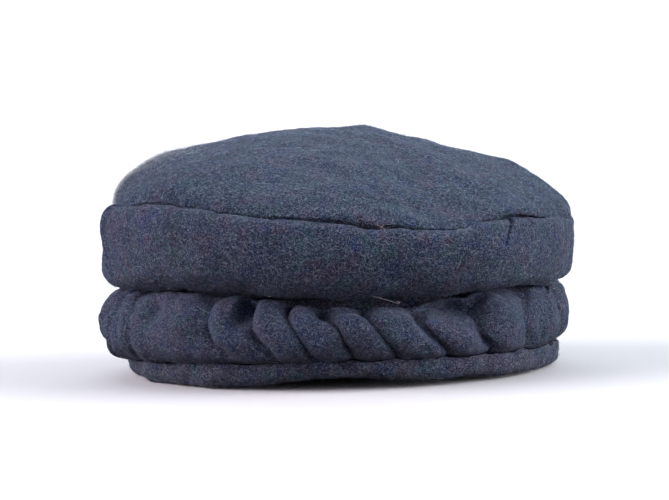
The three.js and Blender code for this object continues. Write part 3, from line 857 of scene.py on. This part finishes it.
# a few odd fibres caught at the seam and under the side's foot. path: turn, radius, height
strayFibres = rowsOf("colour thick path",
    ((0.40, 0.33, 0.34), 0.15, [(7.8, 124.3, 50.8), (9.4, 124.7, 49.6), (11.0, 124.8, 48.6),
                                (12.4, 124.8, 47.6), (13.6, 124.6, 46.6)]),
    ((0.46, 0.40, 0.40), 0.18, [(13.6, 124.6, 46.6), (14.4, 125.0, 46.2), (14.6, 125.2, 47.0),
                                (13.9, 124.9, 47.4)]),
    ((0.26, 0.19, 0.16), 0.20, [(8.6, 128.4, 88.6), (9.6, 129.8, 88.0), (10.4, 130.4, 86.8),
                                (11.0, 130.3, 85.6)]),
    ((0.24, 0.18, 0.17), 0.17, [(10.8, 128.6, 88.2), (10.2, 129.9, 87.6), (9.8, 130.5, 86.4),
                                (10.1, 130.4, 84.6)]))


def makeStrayFibres():
    points, tris, colours = [], [], []
    sides, steps = 6, 24
    for fibre in strayFibres:
        rows = np.array([around(*row) for row in fibre["path"]])
        t, fine = np.arange(len(rows)), np.linspace(0, len(rows) - 1, steps)
        line = np.stack([np.interp(fine, t, rows[:, k]) for k in range(3)], 1)
        for _ in range(4):  # rounds off the corners
            line[1:-1] = (line[:-2] + 2 * line[1:-1] + line[2:]) / 4
        side, other = acrossOf(np.gradient(line, axis=0), (0, 0, 1.0))
        taper = 0.25 + 0.75 * np.sin(np.pi * np.linspace(0.04, 0.96, steps)) ** 0.5
        taper = fibre["thick"] * taper[:, None]
        start = sum(len(part) for part in points)
        for k in range(sides):
            a = 360 * k / sides
            points.append(line + taper * (cosDeg(a) * side + sinDeg(a) * other))
        ends = start + sides * steps
        points.append(line[[0, -1]])
        for k in range(sides):
            here, after = start + k * steps, start + (k + 1) % sides * steps
            for j in range(steps - 1):
                tris += [(here + j, here + j + 1, after + j + 1), (here + j, after + j + 1, after + j)]
            tris += [(ends, here, after), (ends + 1, after + steps - 1, here + steps - 1)]
        colours += [fibre["colour"]] * (sides * steps + 2)
    mesh = bpy.data.meshes.new("stray_fibres")
    mesh.from_pydata((np.concatenate(points) * mm).tolist(), [], tris)
    tintFibres(mesh, np.array(colours))
    mesh.polygons.foreach_set("use_smooth", np.ones(len(tris), dtype=bool))
    return addPiece("stray_fibres", mesh)


fuzzPieces = [makeStrayFibres(),
              makeFuzz("crown_top_fuzz", topFace, count=11000, seed=101),
              # painted highlight: the tuft's fibres are made lighter still
              makeFuzz("crown_top_tuft", topFace, count=2700, seed=105, shade=1.35,
                       tuft=fuzzSettings["tuft"]),
              makeFuzz("crown_side_fuzz", sideFace, count=9500, seed=102, shade=0.95),
              makeFuzz("twisted_roll_fuzz", rollFace, count=8000, seed=103, shade=0.9),
              makeFuzz("head_band_fuzz", bandFace, count=3200, seed=104, shade=0.9)]


# the wool cloth

def newNode(tree, kind, at, inputs={}, **values):
    node = tree.nodes.new(kind)
    node.location = at
    for key, value in values.items():
        setattr(node, key, value)
    for label, value in inputs.items():
        node.inputs[label].default_value = value
    return node


# the group's inputs, and the settings that fill them
woolColours = (("Ground", "ground"), ("Blue", "blue"), ("Teal", "teal"), ("Mauve", "mauve"),
               ("Light fibre", "lightFibre"), ("Dark fibre", "darkFibre"))
woolNumbers = (("Patch size", "patchSize"), ("Fibre size", "fibreSize"), ("Contrast", "contrast"))

heatherSettings = {
    # the patches: where in the noise each starts and is full, and how far its noise is moved
    "patches": rowsOf("colour low high shift", ("Blue", 0.46, 0.64, (0, 0, 0)),
                      ("Teal", 0.5, 0.66, (1.3, 2.9, 5.2)), ("Mauve", 0.5, 0.66, (3.1, 1.7, 0.4))),
    "dark": (0.54, 0.44),  # where in the noise dark fibres start and are full
    "light": (0.515, 0.62),
    "cellScale": 0.36,  # of the cells in which fibres lie one way, against the fibres' own
    "lumpScale": 0.3,
    "long": 0.22,  # how much a fibre's noise is squeezed along it
    "secondShift": 0.37,
    # painted shade and light: the colour is darker where the lumps are low, in the hollows between the
    # fibres, and lighter where they are high
    "hollows": {"From Min": 0.32, "From Max": 0.62, "To Min": 0.72, "To Max": 1.18},
}


def heatherGroup():
    # mixed fibres of several blues, felted together: a colour, with painted shade in its hollows, and a
    # height
    o = heatherSettings
    group = bpy.data.node_groups.new("feltedHeather", "ShaderNodeTree")
    for sets, kind in ((woolColours, "NodeSocketColor"), (woolNumbers, "NodeSocketFloat")):
        for label, _ in sets:
            group.interface.new_socket(label, in_out="INPUT", socket_type=kind)
    group.interface.new_socket("Colour", in_out="OUTPUT", socket_type="NodeSocketColor")
    group.interface.new_socket("Height", in_out="OUTPUT", socket_type="NodeSocketFloat")
    link = group.links.new
    given = newNode(group, "NodeGroupInput", (-1700, 0)).outputs
    out = newNode(group, "NodeGroupOutput", (1500, 0))
    place = newNode(group, "ShaderNodeTexCoord", (-1700, -400)).outputs["Object"]

    def feed(socket, value):
        # a number or another node's output
        if isinstance(value, (int, float)):
            socket.default_value = value
        else:
            link(value, socket)

    def calculate(operation, a, b, at):
        node = newNode(group, "ShaderNodeMath", at, operation=operation)
        feed(node.inputs[0], a)
        feed(node.inputs[1], b)
        return node.outputs[0]

    def blend(a, b, share, at):
        node = newNode(group, "ShaderNodeMix", at, data_type="RGBA", blend_type="MIX")
        for k, value in ((6, a), (7, b), (0, share)):
            feed(node.inputs[k], value)
        return node.outputs[2]

    def moved(shift, at):
        node = newNode(group, "ShaderNodeVectorMath", at, {1: shift}, operation="ADD")
        link(place, node.inputs[0])
        return node.outputs[0]

    def noise(vector, scale, at, inputs):
        node = newNode(group, "ShaderNodeTexNoise", at, inputs)
        link(vector, node.inputs["Vector"])
        link(scale, node.inputs["Scale"])
        return node.outputs["Fac"]

    def ramp(value, low, high, at):
        node = newNode(group, "ShaderNodeMapRange", at, {"From Min": low, "From Max": high},
                       interpolation_type="SMOOTHSTEP")
        link(value, node.inputs["Value"])
        return node.outputs[0]

    def strands(turn, at):
        # short streaks that lie another way in each small cell
        x, y = at
        shifted = moved((turn, turn * 2.3, turn * 0.7), at)
        cell = newNode(group, "ShaderNodeTexVoronoi", (x + 180, y), feature="F1")
        link(calculate("MULTIPLY", fibreScale, o["cellScale"], (x, y - 160)), cell.inputs["Scale"])
        link(shifted, cell.inputs["Vector"])
        spin = newNode(group, "ShaderNodeVectorMath", (x + 360, y - 160), {"Scale": 6.28},
                       operation="SCALE")
        link(cell.outputs["Color"], spin.inputs[0])
        rotate = newNode(group, "ShaderNodeVectorRotate", (x + 540, y), rotation_type="EULER_XYZ")
        link(shifted, rotate.inputs["Vector"])
        link(spin.outputs[0], rotate.inputs["Rotation"])
        stretch = newNode(group, "ShaderNodeVectorMath", (x + 720, y), {1: (1.0, 1.0, o["long"])},
                          operation="MULTIPLY")
        link(rotate.outputs[0], stretch.inputs[0])
        return noise(stretch.outputs[0], fibreScale, (x + 900, y), {"Detail": 2, "Distortion": 0.6})

    # a texture's scale is one over a size in metres
    patchScale = calculate("DIVIDE", 1.0, given["Patch size"], (-1450, 300))
    fibreScale = calculate("DIVIDE", 1.0, given["Fibre size"], (-1450, -600))
    colour = given["Ground"]
    for k, patch in enumerate(o["patches"]):
        x, y = -1250, 400 - 150 * k
        value = noise(moved(patch["shift"], (x, y)), patchScale, (x + 180, y),
                      {"Detail": 3, "Roughness": 0.6})
        share = ramp(value, patch["low"], patch["high"], (x + 360, y))
        colour = blend(colour, given[patch["colour"]], share, (180 * k - 600, 350 - 50 * k))
    first = strands(0.0, (-1450, -300))
    second = strands(o["secondShift"], (-1450, -900))
    for k, (label, value, limits) in enumerate((("Dark fibre", first, o["dark"]),
                                                ("Light fibre", second, o["light"]))):
        y = -150 - 300 * k
        share = calculate("MULTIPLY", ramp(value, *limits, (-200, y)), given["Contrast"], (-20, y))
        colour = blend(colour, given[label], share, (300 + 200 * k, 150 - 50 * k))
    lumps = noise(place, calculate("MULTIPLY", fibreScale, o["lumpScale"], (-400, -850)), (-200, -750),
                  {"Detail": 4, "Roughness": 0.65})
    both = calculate("ADD", first, second, (300, -350))
    link(calculate("ADD", both, lumps, (500, -450)), out.inputs["Height"])
    # painted shade and light: the colour is scaled by the lumps, darker in their hollows and lighter on
    # their tops
    deep = newNode(group, "ShaderNodeMapRange", (500, -150), o["hollows"])
    link(lumps, deep.inputs["Value"])
    shaded = newNode(group, "ShaderNodeVectorMath", (900, 100), operation="SCALE")
    link(colour, shaded.inputs[0])
    link(deep.outputs[0], shaded.inputs["Scale"])
    link(shaded.outputs[0], out.inputs["Colour"])
    return group


feltedHeather = heatherGroup()

woolSettings = {
    "ground": (0.049, 0.070, 0.115),
    "blue": (0.025, 0.046, 0.128),
    "teal": (0.034, 0.083, 0.104),
    "mauve": (0.076, 0.054, 0.106),
    "lightFibre": (0.20, 0.225, 0.28),
    "darkFibre": (0.010, 0.012, 0.022),
    "patchSize": 0.012,
    "fibreSize": 0.0007,
    "contrast": 1.0,
    "bump": {"Distance": 0.0008, "Strength": 0.9},
    "cloth": {"Roughness": 0.95, "Specular IOR Level": 0.15, "Sheen Weight": 0.12, "Sheen Roughness": 0.55,
              "Sheen Tint": (0.62, 0.7, 0.82, 1)},
}


def emptyMaterial(name):
    material = bpy.data.materials.new(name)
    material.use_nodes = True
    tree = material.node_tree
    tree.nodes.clear()
    return material, tree, newNode(tree, "ShaderNodeOutputMaterial", (500, 0))


def woolMaterial(name, **changes):
    o = {**woolSettings, **changes}
    material, tree, out = emptyMaterial(name)
    cloth = newNode(tree, "ShaderNodeBsdfPrincipled", (200, 0), o["cloth"])
    heather = newNode(tree, "ShaderNodeGroup", (-300, 0), node_tree=feltedHeather)
    bump = newNode(tree, "ShaderNodeBump", (0, -200), o["bump"])
    for label, key in woolColours:
        heather.inputs[label].default_value = (*o[key], 1)
    for label, key in woolNumbers:
        heather.inputs[label].default_value = o[key]
    link = tree.links.new
    link(heather.outputs["Colour"], cloth.inputs["Base Color"])
    link(heather.outputs["Height"], bump.inputs["Height"])
    link(bump.outputs["Normal"], cloth.inputs["Normal"])
    link(cloth.outputs[0], out.inputs["Surface"])
    return material


def fuzzMaterial():
    material, tree, out = emptyMaterial("looseFibres")
    fibre = newNode(tree, "ShaderNodeBsdfPrincipled", (200, 0),
                    {"Roughness": 0.8, "Specular IOR Level": 0.2, "Sheen Weight": 0.3})
    tint = newNode(tree, "ShaderNodeAttribute", (-100, 0), attribute_name="fibreColour")
    tree.links.new(tint.outputs["Color"], fibre.inputs["Base Color"])
    tree.links.new(fibre.outputs[0], out.inputs["Surface"])
    return material


# what differs from the wool above. The pieces are one cloth, and their grounds differ to stand in for how
# the light falls on each: painted shade on the darker top and side, painted light on the lighter roll and
# band, and the band's warmer tint a painted reflection from below
pieceWools = [
    # painted shade: the top's ground and light fibres are darker
    (topPiece, "crownTopWool", {"ground": (0.031, 0.053, 0.090), "blue": (0.017, 0.036, 0.105),
                                "lightFibre": (0.152, 0.193, 0.250)}),
    (sidePiece, "crownSideWool", {"ground": (0.042, 0.062, 0.106), "contrast": 0.85}),
    (rollPiece, "twistedRollWool", {"ground": (0.055, 0.064, 0.110), "blue": (0.032, 0.051, 0.124),
                                    "teal": (0.040, 0.078, 0.106), "mauve": (0.071, 0.057, 0.107),
                                    "contrast": 0.7}),
    # painted light and a painted warm reflection: the band's ground is lighter and warmer
    (bandPiece, "headBandWool", {"ground": (0.092, 0.083, 0.114), "contrast": 0.8}),
]
for piece, name, changes in pieceWools:
    piece.data.materials.append(woolMaterial(name, **changes))
looseFibres = fuzzMaterial()
for fuzz in fuzzPieces:
    fuzz.data.materials.append(looseFibres)
print("wool done")


# floor, light and camera

studioSettings = {
    "floorRadius": 40.0,
    "floorSides": 96,
    "paper": (1.0, 0.975, 0.94),
    "paperGlow": (0.125, 0.108, 0.100),  # what the paper throws back on the cap
    "backdrop": (1.0, 1.0, 1.0),
    "roomLight": (0.100, 0.116, 0.162),
    # soft lamps: where each one shines from, as turn and height in degrees, how wide, how strong
    "lamps": rowsOf("name turn height wide strength colour",
        ("ceiling", 180, 66, 110, 0.85, (0.89, 1.0, 1.07)),
        ("backWindow", 180, 32, 60, 1.0, (0.89, 1.0, 1.07)),
        ("leftWindow", -82, 14, 66, 4.15, (1.0, 0.92, 1.04)),
        ("rightWindow", 82, 9, 66, 5.0, (0.96, 0.96, 1.05)),
        ("frontLamp", 0, 10, 30, 0.05, (0.90, 1.0, 1.2))),
}


def seenAndGiven(tree, seen, given, socket):
    # one colour for the eye and another for the light that falls on the cap
    path = newNode(tree, "ShaderNodeLightPath", (-500, 200))
    either = newNode(tree, "ShaderNodeMix", (-250, 100), {6: (*given, 1), 7: (*seen, 1)}, data_type="RGBA")
    tree.links.new(path.outputs["Is Camera Ray"], either.inputs[0])
    tree.links.new(either.outputs[2], socket)


def makeStudio():
    o = studioSettings
    mesh = bpy.data.meshes.new("floor")
    count = o["floorSides"]
    rim = [(o["floorRadius"] * math.cos(2 * math.pi * k / count),
            o["floorRadius"] * math.sin(2 * math.pi * k / count), 0) for k in range(count)]
    mesh.from_pydata(rim, [], [tuple(range(count))])
    floor = addObject("floor", mesh)
    paper = bpy.data.materials.new("palePaper")
    paper.use_nodes = True
    sheet = paper.node_tree.nodes["Principled BSDF"]
    seenAndGiven(paper.node_tree, o["paper"], o["paperGlow"], sheet.inputs["Base Color"])
    sheet.inputs["Roughness"].default_value = 0.9
    sheet.inputs["Specular IOR Level"].default_value = 0.0
    mesh.materials.append(paper)
    world = bpy.data.worlds.new("studio")
    world.use_nodes = True
    sky = world.node_tree.nodes["Background"]
    seenAndGiven(world.node_tree, o["backdrop"], o["roomLight"], sky.inputs["Color"])
    bpy.context.scene.world = world
    for lamp in o["lamps"]:
        data = bpy.data.lights.new(lamp["name"], "SUN")
        data.angle = math.radians(lamp["wide"])
        data.energy = lamp["strength"]
        data.color = lamp["colour"]
        light = addObject(lamp["name"], data)
        turn, height = math.radians(lamp["turn"]), math.radians(lamp["height"])
        away = Vector((math.sin(turn) * math.cos(height), -math.cos(turn) * math.cos(height),
                       math.sin(height)))
        light.location = away * 2
        light.rotation_euler = (-away).to_track_quat("-Z", "Y").to_euler()
    bpy.context.scene.view_settings.view_transform = "Standard"


cameraSettings = {
    "elevation": 4.5,
    "roll": 1.5,  # a little off level
    "distance": 3.0,
    "frameWidth": 0.36698,  # metres across the whole view, at the cap
    "aim": (-0.0014, 0.0, 0.0658),
}


def makeCamera():
    o = cameraSettings
    data = bpy.data.cameras.new("camera")
    data.sensor_width = 36
    data.lens = data.sensor_width * o["distance"] / o["frameWidth"]
    data.clip_end = 100
    camera = addObject("camera", data)
    aim = Vector(o["aim"])
    rise = math.radians(o["elevation"])
    place = aim + Vector((0, -math.cos(rise), math.sin(rise))) * o["distance"]
    level = (aim - place).to_track_quat("-Z", "Y").to_matrix()
    look = level @ Matrix.Rotation(math.radians(-o["roll"]), 3, "Z")
    camera.matrix_world = Matrix.LocRotScale(place, look.to_quaternion(), None)
    bpy.context.scene.camera = camera


makeStudio()
makeCamera()
print("studio done")
